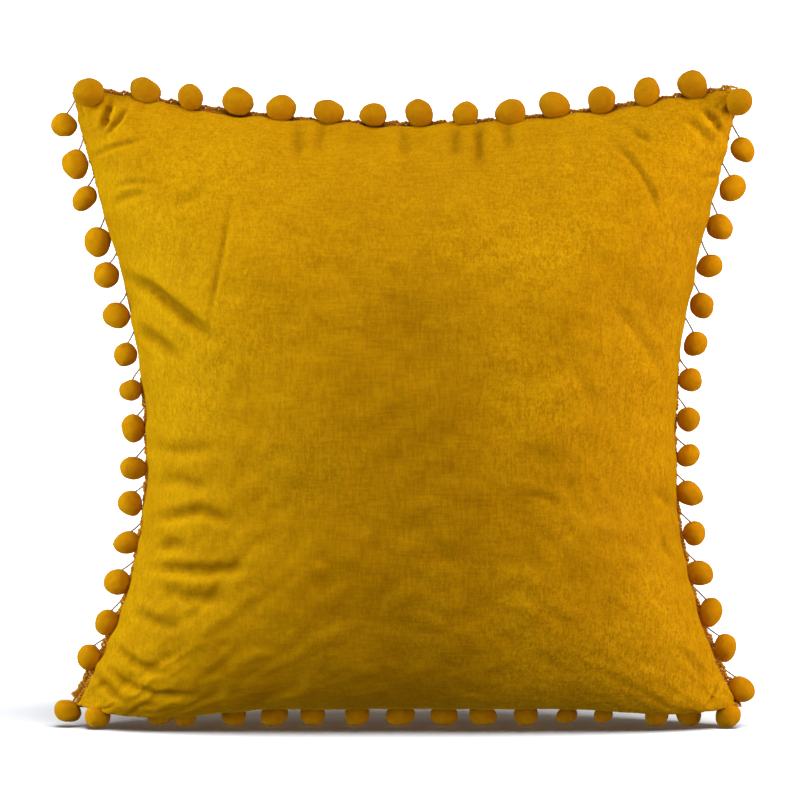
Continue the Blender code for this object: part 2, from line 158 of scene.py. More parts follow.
def settled_cloth():
    """How far pressure and the spare cloth move each point of the front sheet, its seam held."""
    s, t = cells_of(SIM_CELLS)
    start = filled(s, t)
    points = start.copy()
    nudges = np.random.default_rng(5)
    points[1:-1, 1:-1] += nudges.normal(0, 0.0003, points[1:-1, 1:-1].shape)
    mesh = bpy.data.meshes.new("cloth_sheet")
    mesh.from_pydata(points.reshape(-1, 3).tolist(), [], grid_faces(SIM_CELLS).tolist())
    sheet = bpy.data.objects.new("cloth_sheet", mesh)
    bpy.context.scene.collection.objects.link(sheet)
    sheet.shape_key_add(name="Basis")
    flat = sheet.shape_key_add(name="flat")
    cut = np.stack([s * FLAT_SIZE / 2, np.zeros_like(s), t * FLAT_SIZE / 2], -1)
    flat.data.foreach_set("co", cut.reshape(-1).astype(np.float32))
    seam = sheet.vertex_groups.new(name="seam")
    seam.add([int(i) for i in rim_of(SIM_CELLS)], 1.0, "REPLACE")
    cloth = sheet.modifiers.new("cloth", "CLOTH")
    settings = cloth.settings
    settings.quality = 6
    settings.mass = 0.15
    settings.tension_stiffness = 30
    settings.compression_stiffness = 30
    settings.shear_stiffness = 8
    settings.bending_stiffness = 0.05
    settings.use_pressure = True
    settings.uniform_pressure_force = 5
    settings.effector_weights.gravity = 0
    settings.rest_shape_key = flat
    settings.vertex_group_mass = "seam"
    cloth.collision_settings.use_collision = False
    cloth.point_cache.frame_start = 1
    cloth.point_cache.frame_end = SIM_FRAMES
    scene = bpy.context.scene
    for step in range(1, SIM_FRAMES + 1):
        scene.frame_set(step)
    settled = sheet.evaluated_get(bpy.context.evaluated_depsgraph_get()).data
    moved = np.empty(len(settled.vertices) * 3, np.float32)
    settled.vertices.foreach_get("co", moved)
    bpy.data.objects.remove(sheet)
    scene.frame_set(1)
    return moved.reshape(start.shape).astype(float) - start


def refined(field, count):
    """A field over a coarse grid, read between its points by Catmull-Rom curves."""
    coarse = field.shape[0] - 1
    place = np.linspace(0, coarse, count + 1)
    low = np.minimum(place.astype(int), coarse - 1)
    f = place - low
    weights = [
        (-f + 2 * f**2 - f**3) / 2,
        (2 - 5 * f**2 + 3 * f**3) / 2,
        (f + 4 * f**2 - 3 * f**3) / 2,
        (-(f**2) + f**3) / 2,
    ]
    for axis in (0, 1):
        total = 0
        for offset, weight in zip((-1, 0, 1, 2), weights):
            picked = np.take(field, np.clip(low + offset, 0, coarse), axis=axis)
            shape = [1] * picked.ndim
            shape[axis] = -1
            total = total + picked * weight.reshape(shape)
        field = total
    return field


# Creases pressed into the front: points (x, z) along each, half width, depth
CREASES = [
    # folds at the upper left corner
    ([(-0.1905, 0.4075), (-0.1925, 0.398), (-0.1950, 0.386)], 0.0030, 0.0042),
    ([(-0.1790, 0.4030), (-0.1850, 0.392), (-0.1935, 0.3815)], 0.0026, 0.0024),
    ([(-0.2040, 0.3690), (-0.1870, 0.3745), (-0.1650, 0.3790)], 0.0024, 0.0016),
    ([(-0.1900, 0.3480), (-0.1760, 0.3510), (-0.1530, 0.3500)], 0.0024, 0.0013),
    ([(-0.1890, 0.3370), (-0.1790, 0.3420), (-0.1640, 0.3440)], 0.0035, 0.0016),
    # a broad valley down from the upper left side, and a faint upright line beside it
    ([(-0.1790, 0.2915), (-0.1590, 0.2800), (-0.1190, 0.2490)], 0.0052, 0.0058),
    ([(-0.1740, 0.2585), (-0.1570, 0.2490), (-0.1430, 0.2370)], 0.0054, 0.0030),
    ([(-0.1100, 0.3440), (-0.1150, 0.3050), (-0.1250, 0.2550)], 0.0024, 0.0014),
    ([(-0.1480, 0.3300), (-0.1350, 0.3420), (-0.1240, 0.3480)], 0.0050, 0.0010),
    # short upright folds below the top seam
    ([(-0.0700, 0.3920), (-0.0690, 0.3650)], 0.0048, 0.0019),
    ([(-0.0540, 0.3930), (-0.0560, 0.3700)], 0.0042, 0.0015),
    ([(-0.0020, 0.3920), (-0.0010, 0.3640)], 0.0050, 0.0018),
    ([(0.0320, 0.3920), (0.0310, 0.3640)], 0.0046, 0.0020),
    ([(0.0470, 0.3920), (0.0460, 0.3590)], 0.0042, 0.0026),
    ([(0.0640, 0.3930), (0.0660, 0.3700)], 0.0055, 0.0018),
    # creases of the upper right
    ([(0.1290, 0.3790), (0.1460, 0.3610), (0.1560, 0.3430), (0.1600, 0.3260)], 0.0026, 0.0019),
    ([(0.1430, 0.3880), (0.1480, 0.3820), (0.1580, 0.3770)], 0.0034, 0.0020),
    ([(0.1900, 0.4010), (0.1990, 0.3930), (0.2050, 0.3830)], 0.0034, 0.0034),
    ([(0.1720, 0.3960), (0.1850, 0.3900), (0.2000, 0.3740)], 0.0040, 0.0016),
    ([(0.1850, 0.3540), (0.1950, 0.3560), (0.2070, 0.3580)], 0.0028, 0.0012),
    # pleats running in from the left seam
    ([(-0.1660, 0.1830), (-0.1450, 0.1800), (-0.1150, 0.1830)], 0.0050, 0.0016),
    ([(-0.1650, 0.1600), (-0.1450, 0.1620), (-0.1200, 0.1560)], 0.0050, 0.0018),
    ([(-0.1640, 0.1360), (-0.1450, 0.1400), (-0.1300, 0.1430), (-0.1050, 0.1350)], 0.0048, 0.0036),
    ([(-0.1600, 0.1180), (-0.1480, 0.1210), (-0.1380, 0.1200)], 0.0050, 0.0026),
    ([(-0.1660, 0.1055), (-0.1450, 0.1055), (-0.1250, 0.1050), (-0.0960, 0.1085)], 0.0048, 0.0037),
    ([(-0.1600, 0.0950), (-0.1400, 0.0885), (-0.1080, 0.0870)], 0.0058, 0.0023),
    ([(-0.1760, 0.0800), (-0.1600, 0.0720), (-0.1400, 0.0690)], 0.0050, 0.0020),
    ([(-0.1860, 0.0540), (-0.1720, 0.0440), (-0.1500, 0.0380)], 0.0042, 0.0026),
    ([(-0.1960, 0.0440), (-0.1800, 0.0320), (-0.1600, 0.0250), (-0.1250, 0.0240)], 0.0034, 0.0026),
    ([(-0.2010, 0.0350), (-0.1900, 0.0250), (-0.1780, 0.0180)], 0.0036, 0.0024),
    # faint lines on the right
    ([(0.0730, 0.1540), (0.0850, 0.1520), (0.0960, 0.1480)], 0.0030, 0.0011),
    ([(0.1250, 0.2780), (0.1500, 0.2500), (0.1700, 0.2180)], 0.0050, 0.0010),
    ([(0.1620, 0.1280), (0.1660, 0.1170), (0.1730, 0.1080)], 0.0036, 0.0016),
    ([(0.1560, 0.1560), (0.1640, 0.1500), (0.1720, 0.1430)], 0.0040, 0.0014),
    ([(0.1720, 0.0560), (0.1840, 0.0440), (0.1950, 0.0300)], 0.0045, 0.0012),
    ([(0.1915, 0.0120), (0.1965, 0.0200), (0.2030, 0.0310)], 0.0017, 0.0030),
]
# Creases of the back, fewer and softer
BACK_CREASES = [
    ([(-0.1900, 0.3950), (-0.1800, 0.3800), (-0.1750, 0.3600)], 0.0040, 0.0028),
    ([(0.1900, 0.4000), (0.1750, 0.3850), (0.1500, 0.3750)], 0.0036, 0.0028),
    ([(0.1600, 0.2300), (0.1300, 0.2200), (0.0900, 0.2250)], 0.0070, 0.0032),
    ([(0.1620, 0.1900), (0.1400, 0.1950), (0.1150, 0.1880)], 0.0055, 0.0026),
    ([(0.1640, 0.1500), (0.1350, 0.1450), (0.1100, 0.1480)], 0.0050, 0.0032),
    ([(-0.1640, 0.2100), (-0.1400, 0.2050), (-0.1150, 0.2100)], 0.0055, 0.0028),
    ([(-0.1660, 0.1700), (-0.1400, 0.1720), (-0.1100, 0.1650)], 0.0060, 0.0034),
    ([(-0.0600, 0.3920), (-0.0580, 0.3600)], 0.0050, 0.0020),
    ([(0.0100, 0.3920), (0.0080, 0.3560)], 0.0055, 0.0022),
    ([(0.0550, 0.3930), (0.0600, 0.3660)], 0.0046, 0.0018),
    ([(-0.1900, 0.0500), (-0.1650, 0.0380), (-0.1300, 0.0320)], 0.0040, 0.0026),
    ([(0.1900, 0.0500), (0.1700, 0.0360), (0.1400, 0.0300)], 0.0040, 0.0026),
    ([(0.0900, 0.3300), (0.1050, 0.3000), (0.1100, 0.2650)], 0.0050, 0.0014),
]


def crease_field(points, creases):
    """Depth along the normal of a set of creases, each a groove with a low ridge on both sides."""
    x, z = points[..., 0], points[..., 2]
    total = np.zeros_like(x)
    for path, width, depth in creases:
        path = np.array(path)
        lengths = np.linalg.norm(np.diff(path, axis=0), axis=1)
        run = np.concatenate([[0], np.cumsum(lengths)])
        nearest = np.full(x.shape, np.inf)
        along = np.zeros_like(x)
        for i, length in enumerate(lengths):
            step = (path[i + 1] - path[i]) / length
            reach = (x - path[i, 0]) * step[0] + (z - path[i, 1]) * step[1]
            reach = np.clip(reach, 0, length)
            gap = np.hypot(x - path[i, 0] - step[0] * reach, z - path[i, 1] - step[1] * reach)
            closer = gap < nearest
            nearest = np.where(closer, gap, nearest)
            along = np.where(closer, run[i] + reach, along)
        share = along / run[-1]
        fade = eased(np.minimum(share, 1 - share) / 0.35) * 0.85 + 0.15
        q = (nearest / width) ** 2
        total += depth * fade * (1 - 0.85 * q) * np.exp(-q)
    return total


def waves(points, seed, lengths, count):
    """A smooth random field from -1 to 1 or so: cosines of several lengths and directions."""
    rng = np.random.default_rng(seed)
    total = np.zeros(points.shape[:-1])
    for _ in range(count):
        angle = rng.uniform(0, math.pi)
        wave = 2 * math.pi / rng.uniform(*lengths)
        place = points[..., 0] * math.cos(angle) + points[..., 2] * math.sin(angle)
        total += np.cos(place * wave + rng.uniform(0, 2 * math.pi))
    return total / math.sqrt(count)


def seam_puckers(s, t, seed):
    """Small gathers across the seam: the cloth's edge is longer than the seam it is sewn into."""
    rng = np.random.default_rng(seed)
    total = np.zeros_like(s)
    for edge, along in ((1 + s, t), (1 - s, t), (1 - t, s)):
        phase = np.zeros_like(s)
        for _ in range(4):
            phase += np.sin(along * rng.uniform(3, 12) + rng.uniform(0, 2 * math.pi))
        ripple = np.cos(along * 44 + 1.6 * phase)
        reach = 0.10 + 0.05 * np.sin(along * 9 + rng.uniform(0, 6))
        near = (edge / 0.03) * np.exp(1 - edge / 0.03) * 0.55
        near = near + (edge / reach) * np.exp(1 - edge / reach) * 0.45
        total += ripple * near
    return total


def corner_sag(points):
    """How far the front's lowest edge droops towards the floor beside each lower corner."""
    x, depth, z = points[..., 0], -points[..., 1], points[..., 2]
    left = 0.0060 * np.clip((-0.085 - x) / 0.06, 0, 1) ** 1.2
    right = 0.0040 * np.clip((x - 0.09) / 0.08, 0, 1) ** 1.2
    forward = np.clip((depth - 0.006) / 0.016, 0, 1)
    return (left + right) * forward * np.exp(-(((z - SEAM_BOTTOM) / 0.022) ** 2))


def cover_sheet(count, moved, mirrored, creases, seed):
    """The velvet's outer face, and its painted crease shade and highlight. The back is the front's cloth,
    mirrored.
    """
    s, t = cells_of(count)
    points = filled(s, t)
    drift = refined(moved, count)
    if mirrored:
        drift = drift[::-1] * np.array([-1, 1, 1])
    above = eased((t + 1) / BASE_REACH)
    free = above
    if not mirrored:
        calm = (points[..., 0] - CALM_X) ** 2 + (points[..., 2] - CALM_Z) ** 2
        free = free * (1 - 0.7 * np.exp(-calm / CALM_REACH**2))
    points = points + drift * free[..., None]
    edge_x, edge_z = 1 - np.abs(s), 1 - t
    roll_x = (edge_x / ROLL_REACH) * np.exp(1 - edge_x / ROLL_REACH)
    roll_z = (edge_z / ROLL_REACH) * np.exp(1 - edge_z / ROLL_REACH)
    points[..., 0] += SEAM_ROLL * np.sign(s) * roll_x
    seats = sum(np.exp(-(((points[..., 0] - perch) / PERCH_WIDTH) ** 2)) for perch in perches)
    points[..., 2] += TOP_ROLL * roll_z * np.minimum(1, edge_x / 0.12) * (1 - PERCH_SHARE * seats)
    if not mirrored:
        points[..., 2] -= corner_sag(points)
    normal = normals_of(points)
    inward = -normal
    folds = crease_field(points, creases)
    dents = folds
    dents = dents + 0.0007 * waves(points, seed, (0.05, 0.13), 14)
    dents = dents + 0.00022 * waves(points, seed + 1, (0.012, 0.035), 22)
    dents = dents + 0.00055 * seam_puckers(s, t, seed + 2)
    held = np.minimum(1, np.minimum(edge_x, np.minimum(edge_z, 1 + t)) / 0.012) * above
    # Painted shade and highlight for the velvet's colour: dark in the creases' grooves, light on their
    # ridges, and lighter or darker as the dents slope up or down.
    run = np.linalg.norm(np.gradient(points, axis=1), axis=-1)
    lean = np.gradient(dents * held, axis=1) / np.maximum(run, 1e-5)
    painted_crease_shading = np.tanh(-folds * held / 0.0036 + lean * 0.9)
    return points + inward * (dents * held)[..., None], painted_crease_shading


def closed_cloth(outer, inner):
    """Vertices and faces of a cloth between two grids of the same size, joined along the rim."""
    count = outer.shape[0] - 1
    faces = grid_faces(count)
    rim = rim_of(count)
    size = (count + 1) ** 2
    after = np.roll(rim, -1)
    edge = np.stack([after, rim, rim + size, after + size], -1)
    points = np.concatenate([outer.reshape(-1, 3), inner.reshape(-1, 3)])
    return points, np.concatenate([faces, faces[:, ::-1] + size, edge])


def mesh_piece(name, points, faces, material):
    mesh = bpy.data.meshes.new(name)
    faces = faces.tolist() if isinstance(faces, np.ndarray) else faces
    mesh.from_pydata(np.asarray(points).tolist(), [], faces)
    mesh.materials.append(material)
    mesh.shade_smooth()
    piece = bpy.data.objects.new(name, mesh)
    bpy.context.scene.collection.objects.link(piece)
    return piece


def turned_back(points):
    """The same sheet on the pillow's back."""
    return points * np.array([1, -1, 1])


def stood_in(piece, body, slot, *nodes):
    """Put a piece on its body in place of the CAD nodes named, and hide them. The slot is not used."""
    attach(piece, body)
    if nodes:
        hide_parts(*nodes)


# ---------------------------------------------------------------- materials


class Finish:
    """A node material with short ways to add and join its nodes."""

    def __init__(self, name, colour, roughness, **sockets):
        self.material = bpy.data.materials.new(name)
        self.material.use_nodes = True
        self.tree = self.material.node_tree
        self.shader = self.tree.nodes["Principled BSDF"]
        self.shader.inputs["Base Color"].default_value = (*colour, 1)
        self.shader.inputs["Roughness"].default_value = roughness
        for socket, value in sockets.items():
            self.shader.inputs[socket.replace("_", " ")].default_value = value
        self.place = self.add("TexCoord").outputs["Object"]

    def add(self, kind, **values):
        node = self.tree.nodes.new("ShaderNode" + kind)
        for key, value in values.items():
            setattr(node, key, value)
        return node

    def join(self, source, target):
        self.tree.links.new(source, target)

    def noise(self, scale, detail=3.0, roughness=0.55, distortion=0.0, stretch=None):
        node = self.add("TexNoise")
        node.inputs["Scale"].default_value = scale
        node.inputs["Detail"].default_value = detail
        node.inputs["Roughness"].default_value = roughness
        node.inputs["Distortion"].default_value = distortion
        if stretch:
            mapping = self.add("Mapping")
            mapping.inputs["Scale"].default_value = stretch[:3]
            if len(stretch) > 3:
                mapping.inputs["Rotation"].default_value = stretch[3:]
            self.join(self.place, mapping.inputs["Vector"])
            self.join(mapping.outputs[0], node.inputs["Vector"])
        else:
            self.join(self.place, node.inputs["Vector"])
        return node.outputs["Fac"]

    def ramp(self, source, *stops):
        node = self.add("ValToRGB")
        elements = node.color_ramp.elements
        while len(elements) < len(stops):
            elements.new(0.5)
        for element, (position, colour) in zip(elements, stops):
            element.position = position
            element.color = (*colour, 1)
        self.join(source, node.inputs["Fac"])
        return node.outputs["Color"]

    def span(self, source, low, high, new_low, new_high):
        node = self.add("MapRange")
        for socket, value in zip(node.inputs[1:5], (low, high, new_low, new_high)):
            socket.default_value = value
        self.join(source, node.inputs[0])
        return node.outputs[0]

    def mix(self, first, second, share):
        node = self.add("Mix", data_type="RGBA", blend_type="MIX")
        ends = [socket for socket in node.inputs if socket.type == "RGBA"]
        for socket, value in ((ends[0], first), (ends[1], second)):
            if isinstance(value, tuple):
                socket.default_value = (*value, 1)
            else:
                self.join(value, socket)
        if isinstance(share, float):
            node.inputs["Factor"].default_value = share
        else:
            self.join(share, node.inputs["Factor"])
        return [socket for socket in node.outputs if socket.type == "RGBA"][0]

    def math(self, operation, first, second):
        node = self.add("Math", operation=operation)
        for socket, value in zip(node.inputs, (first, second)):
            if isinstance(value, (int, float)):
                socket.default_value = value
            else:
                self.join(value, socket)
        return node.outputs[0]

    def bump(self, height, distance, strength=1.0):
        node = self.add("Bump")
        node.inputs["Strength"].default_value = strength
        node.inputs["Distance"].default_value = distance
        self.join(height, node.inputs["Height"])
        self.join(node.outputs[0], self.shader.inputs["Normal"])

    def colour(self, source):
        self.join(source, self.shader.inputs["Base Color"])

    def roughness(self, source):
        self.join(source, self.shader.inputs["Roughness"])


def velvet_finish():
    """Short cut velvet: warm gold, ruffled in patches, with painted shade in a band down the middle, darkest
    low, and painted shade and highlight along the creases.
    """
    made = Finish(
        "velvet",
        (0.50, 0.22, 0.001),
        0.62,
        Sheen_Weight=0.5,
        Sheen_Roughness=0.34,
        Sheen_Tint=(1.0, 0.58, 0.005, 1),
        Specular_IOR_Level=0.012,
    )
    patches = made.noise(11, 3, 0.55, 0.4)
    brushed = made.noise(52, 4, 0.62, 0.8, (1.0, 1.0, 1.2, 0.0, 0.6, 0.0))
    worms = made.noise(460, 3, 0.65, 1.2, (1.0, 1.0, 0.55, 0.0, -0.5, 0.0))
    nap = made.noise(1700, 2, 0.7)
    base = made.ramp(patches, (0.32, (0.42, 0.178, 0.0006)), (0.52, (0.50, 0.222, 0.0008)),
                     (0.72, (0.60, 0.290, 0.001)))
    streaks = made.ramp(brushed, (0.36, (0.42, 0.178, 0.0006)), (0.66, (0.58, 0.275, 0.001)))
    base = made.mix(base, streaks, 0.46)
    axes = made.add("SeparateXYZ")
    made.join(made.place, axes.inputs[0])
    fibres = made.ramp(worms, (0.40, (0.30, 0.120, 0.0006)), (0.60, (0.80, 0.430, 0.008)))
    ruffled = made.span(patches, 0.40, 0.62, 0.06, 0.30)
    ruffled = made.math("ADD", ruffled, made.span(axes.outputs["X"], 0.0, 0.10, 0.0, 0.16))
    base = made.mix(base, fibres, ruffled)
    # Painted shade: a band down the middle of the cover darkened towards deep brown, strongest over the lower
    # and middle height and fading out towards the top.
    sideways = made.math("ADD", axes.outputs["X"], made.span(patches, 0.3, 0.7, -0.035, 0.035))
    inner = made.ramp(made.span(sideways, -0.2, 0.2, 0.0, 1.0), (0.26, (0, 0, 0)), (0.42, (0.80, 0.80, 0.80)),
                      (0.50, (1, 1, 1)), (0.58, (0.80, 0.80, 0.80)), (0.74, (0, 0, 0)))
    below = made.ramp(made.span(axes.outputs["Z"], 0.0, 0.42, 0.0, 1.0), (0.10, (0.7, 0.7, 0.7)),
                      (0.60, (0.74, 0.74, 0.74)), (0.94, (0.0, 0.0, 0.0)))
    painted_middle_shade = made.math("MULTIPLY", made.math("MULTIPLY", inner, below), 0.52)
    base = made.mix(base, (0.16, 0.060, 0.0003), painted_middle_shade)
    weft = made.noise(560, 2, 0.6, 0.3, (0.16, 1.0, 1.2))
    warp = made.noise(560, 2, 0.6, 0.3, (1.2, 1.0, 0.16))
    threads = made.math("MULTIPLY", weft, warp)
    weave = made.ramp(threads, (0.17, (0.28, 0.110, 0.0004)), (0.33, (0.74, 0.385, 0.003)))
    base = made.mix(base, weave, 0.16)
    # Painted shade in the creases' grooves and painted highlight on their ridges, from the cloth's per-point
    # attribute.
    painted_crease_shading = made.add("Attribute", attribute_name="painted_crease_shading").outputs["Fac"]
    base = made.mix(base, (0.17, 0.068, 0.0003), made.span(painted_crease_shading, 0.0, -1.0, 0.0, 0.68))
    base = made.mix(base, (0.86, 0.46, 0.004), made.span(painted_crease_shading, 0.0, 1.0, 0.0, 0.55))
    made.colour(base)
    made.roughness(made.span(brushed, 0.3, 0.7, 0.52, 0.72))
    height = made.math("MULTIPLY", worms, 0.55)
    height = made.math("ADD", height, made.math("MULTIPLY", nap, 0.30))
    height = made.math("ADD", height, made.math("MULTIPLY", brushed, 0.7))
    made.bump(height, 0.0007, 0.6)
    return made.material


def felt_finish(name, seed, depth=1.0):
    """Wet-felted wool: dense, matt, a little mottled, with a soft fuzz; depth under 1 darkens the colours as
    painted shade.
    """
    shift = 0.03 * (seed - 1)
    made = Finish(
        name,
        (0.60, 0.25, 0.002),
        0.95,
        Sheen_Weight=0.35,
        Sheen_Roughness=0.6,
        Sheen_Tint=(1.0, 0.55, 0.02, 1),
        Specular_IOR_Level=0.02,
    )
    clouds = made.noise(130 + 20 * seed, 3, 0.6, 0.8)
    fibres = made.noise(1300, 3, 0.7, 2.5)
    # depth under 1 darkens the colours: painted shade for the top pompoms.
    base = made.ramp(clouds, (0.30, (depth * (0.52 + shift), depth * (0.185 + shift / 2), 0.0008)),
                     (0.52, (depth * (0.62 + shift), depth * (0.245 + shift / 2), 0.001)),
                     (0.75, (depth * (0.68 + shift), depth * (0.300 + shift / 2), 0.002)))
    strands = made.ramp(fibres, (0.36, (depth * 0.44, depth * 0.155, 0.0008)),
                        (0.64, (depth * 0.78, depth * 0.38, 0.006)))
    made.colour(made.mix(base, strands, 0.32))
    height = made.math("ADD", made.math("MULTIPLY", fibres, 0.8), made.math("MULTIPLY", clouds, 0.8))
    made.bump(height, 0.0006, 0.8)
    return made.material


def braid_finish():
    made = Finish("braid_yarn", (0.50, 0.19, 0.008), 0.8, Sheen_Weight=0.3,
                  Sheen_Tint=(1.0, 0.6, 0.2, 1), Specular_IOR_Level=0.2)
    twist = made.noise(900, 2, 0.6, 1.0, (1.0, 1.0, 2.5, 0.0, 0.7, 0.0))
    clouds = made.noise(60, 2)
    base = made.ramp(twist, (0.36, (0.34, 0.115, 0.004)), (0.6, (0.66, 0.28, 0.012)))
    made.colour(made.mix(base, made.ramp(clouds, (0.4, (0.42, 0.15, 0.004)),
                                         (0.66, (0.70, 0.33, 0.03))), 0.35))
    made.bump(twist, 0.0003, 0.8)
    return made.material


def thread_finish():
    made = Finish("fringe_thread", (0.26, 0.21, 0.19), 0.6, Specular_IOR_Level=0.35)
    ply = made.noise(1600, 1, 0.5, 0.0, (1.0, 1.0, 0.4))
    made.colour(made.ramp(ply, (0.4, (0.19, 0.15, 0.13)), (0.62, (0.38, 0.32, 0.29))))
    made.bump(ply, 0.00012, 0.8)
    return made.material


def woven_finish(name, dark, light, threads, roughness, **sockets):
    """Plain weave: two crossed sets of ridges, with slubs."""
    made = Finish(name, light, roughness, **sockets)
    slubs = made.noise(threads * 0.12, 3)
    waves = []
    for direction in ("X", "Z"):
        wave = made.add("TexWave", wave_type="BANDS", bands_direction=direction)
        wave.inputs["Scale"].default_value = threads / 6.283
        wave.inputs["Distortion"].default_value = 0.6
        made.join(made.place, wave.inputs["Vector"])
        waves.append(wave.outputs["Fac"])
    weave = made.math("MULTIPLY", waves[0], waves[1])
    base = made.ramp(weave, (0.0, dark), (0.8, light))
    made.colour(made.mix(base, made.ramp(slubs, (0.4, dark), (0.65, light)), 0.3))
    made.bump(weave, 0.0002, 0.7)
    return made.material


def fibre_finish():
    made = Finish("polyester_fibre", (0.9, 0.9, 0.88), 0.95, Sheen_Weight=0.4)
    strands = made.noise(260, 5, 0.75, 3.0)
    made.colour(made.ramp(strands, (0.35, (0.74, 0.74, 0.72)), (0.62, (0.95, 0.95, 0.94))))
    made.bump(strands, 0.0025, 1.0)
    return made.material


def coil_finish():
    made = Finish("zip_coil", (0.60, 0.34, 0.03), 0.38, Specular_IOR_Level=0.5, Coat_Weight=0.15)
    tone = made.noise(700, 2)
    made.colour(made.ramp(tone, (0.35, (0.44, 0.225, 0.012)), (0.65, (0.70, 0.42, 0.05))))
    made.roughness(made.span(tone, 0.3, 0.7, 0.3, 0.5))
    made.bump(tone, 0.0001, 0.5)
    return made.material


def metal_finish():
    made = Finish("zip_metal", (0.66, 0.50, 0.23), 0.3, Metallic=1.0)
    scratches = made.noise(900, 3, 0.6, 0.0, (1.0, 8.0, 8.0))
    tarnish = made.noise(140, 3)
    base = made.ramp(tarnish, (0.35, (0.46, 0.33, 0.13)), (0.62, (0.74, 0.58, 0.30)))
    made.colour(base)
    made.roughness(made.span(scratches, 0.3, 0.7, 0.22, 0.45))
    made.bump(scratches, 0.00005, 0.5)
    return made.material


def label_finish():
    made = Finish("satin_label", (0.87, 0.86, 0.82), 0.4, Sheen_Weight=0.2,
                  Specular_IOR_Level=0.4)
    satin = made.noise(1600, 2, 0.5, 0.0, (0.25, 2.0, 1.0))
    made.colour(made.ramp(satin, (0.35, (0.78, 0.77, 0.73)), (0.6, (0.91, 0.90, 0.87))))
    made.roughness(made.span(satin, 0.3, 0.7, 0.32, 0.5))
    made.bump(satin, 0.00008, 0.5)
    return made.material


# ---------------------------------------------------------------- cover, insert and fill


def add_cushion(velvet):
    """Both panels of the cover. Returns what the simulation moved, for the insert to follow."""
    moved = settled_cloth()
    for label, facing, creases, seed in (
        ("front", -1, CREASES, 21),
        ("back", 1, BACK_CREASES, 47),
    ):
        outer, painted_crease_shading = cover_sheet(PANEL_CELLS, moved, facing > 0, creases, seed)
        inner = outer - normals_of(outer) * FABRIC
        inner[..., 1] = np.minimum(inner[..., 1], -SEAM_HALF_GAP)
        if facing > 0:
            outer, inner = turned_back(outer), turned_back(inner)
        points, faces = closed_cloth(outer, inner)
        if facing > 0:
            faces = faces[:, ::-1]
        piece = mesh_piece(f"velvet_{label}", points, faces, velvet)
        # The painted crease shade and highlight, kept on each point for the velvet's colour.
        lay = piece.data.attributes.new("painted_crease_shading", "FLOAT", "POINT")
        lay.data.foreach_set("value", np.concatenate([painted_crease_shading.ravel(), painted_crease_shading.ravel()]).astype(np.float32))
        stood_in(piece, PILLOW, "mustard_velvet", f"cover_{label}_panel")
    return moved


moved = add_cushion(velvet_finish())


def add_insert(moved):
    """The loose insert and its fibre, a few millimetres inside the cover and following its folds."""
    lining = woven_finish("insert_cloth", (0.70, 0.69, 0.65), (0.88, 0.87, 0.84), 2600, 0.85)
    s, t = cells_of(INNER_CELLS)
    drift = refined(moved, INNER_CELLS)
    free = eased((t + 1) / BASE_REACH)[..., None]
    halves = []
    for label, facing in (("front", -1), ("back", 1)):
        carried = drift if facing < 0 else drift[::-1] * np.array([-1, 1, 1])
        creases = CREASES if facing < 0 else BACK_CREASES

        def layer(inset):
            sheet = filled(s, t, inset) + carried * free
            dents = crease_field(sheet, creases)[..., None] * free
            dents *= np.minimum(1, (1 - np.abs(s)) / 0.1)[..., None] * np.minimum(1, (1 - t) / 0.1)[..., None]
            sheet = sheet - normals_of(sheet) * dents
            sheet[..., 1] = np.minimum(sheet[..., 1], -SEAM_HALF_GAP)
            return sheet if facing < 0 else turned_back(sheet)

        points, faces = closed_cloth(layer(INSERT_INSET), layer(INSERT_INSET + INSERT_FABRIC))
        piece = mesh_piece(f"insert_{label}", points, faces if facing < 0 else faces[:, ::-1], lining)
        stood_in(piece, PILLOW, "white_insert_cloth", f"insert_{label}_panel")
        halves.append(layer(FILL_INSET))
    points, faces = closed_cloth(*halves)
    fill = mesh_piece("fibre_filling", points, faces, fibre_finish())
    stood_in(fill, PILLOW, "polyester_fibre", "fibre_fill")


add_insert(moved)


# ---------------------------------------------------------------- braid round the seam


def swept_tube(path, radius, sides, closed):
    """Points and faces of a round tube along a path, its rings squared up to the Y axis."""
    path = np.asarray(path, float)
    if closed:
        ahead, behind = np.roll(path, -1, 0), np.roll(path, 1, 0)
    else:
        ahead = np.concatenate([path[1:], path[-1:]])
        behind = np.concatenate([path[:1], path[:-1]])
    tangent = ahead - behind
    tangent /= np.linalg.norm(tangent, axis=1, keepdims=True)
    guide = np.array([0.0, 1.0, 0.0])
    first = np.cross(tangent, guide)
    weak = np.linalg.norm(first, axis=1) < 0.05
    first[weak] = np.cross(tangent[weak], [1.0, 0.0, 0.0])
    first /= np.linalg.norm(first, axis=1, keepdims=True)
    second = np.cross(tangent, first)
    radius = np.broadcast_to(radius, len(path))
    angles = np.linspace(0, 2 * math.pi, sides, endpoint=False)
    ring = (
        first[:, None] * np.cos(angles)[None, :, None]
        + second[:, None] * np.sin(angles)[None, :, None]
    )
    points = (path[:, None] + ring * radius[:, None, None]).reshape(-1, 3)
    index = np.arange(len(points)).reshape(len(path), sides)
    after = np.roll(index, -1, 0) if closed else index[1:]
    before = index if closed else index[:-1]
    faces = np.stack(
        [before, np.roll(before, -1, 1), np.roll(after, -1, 1), after], -1
    ).reshape(-1, 4)
    faces = faces.tolist()
    if not closed:
        faces.append(index[0, ::-1].tolist())
        faces.append(index[-1].tolist())
    return points, faces


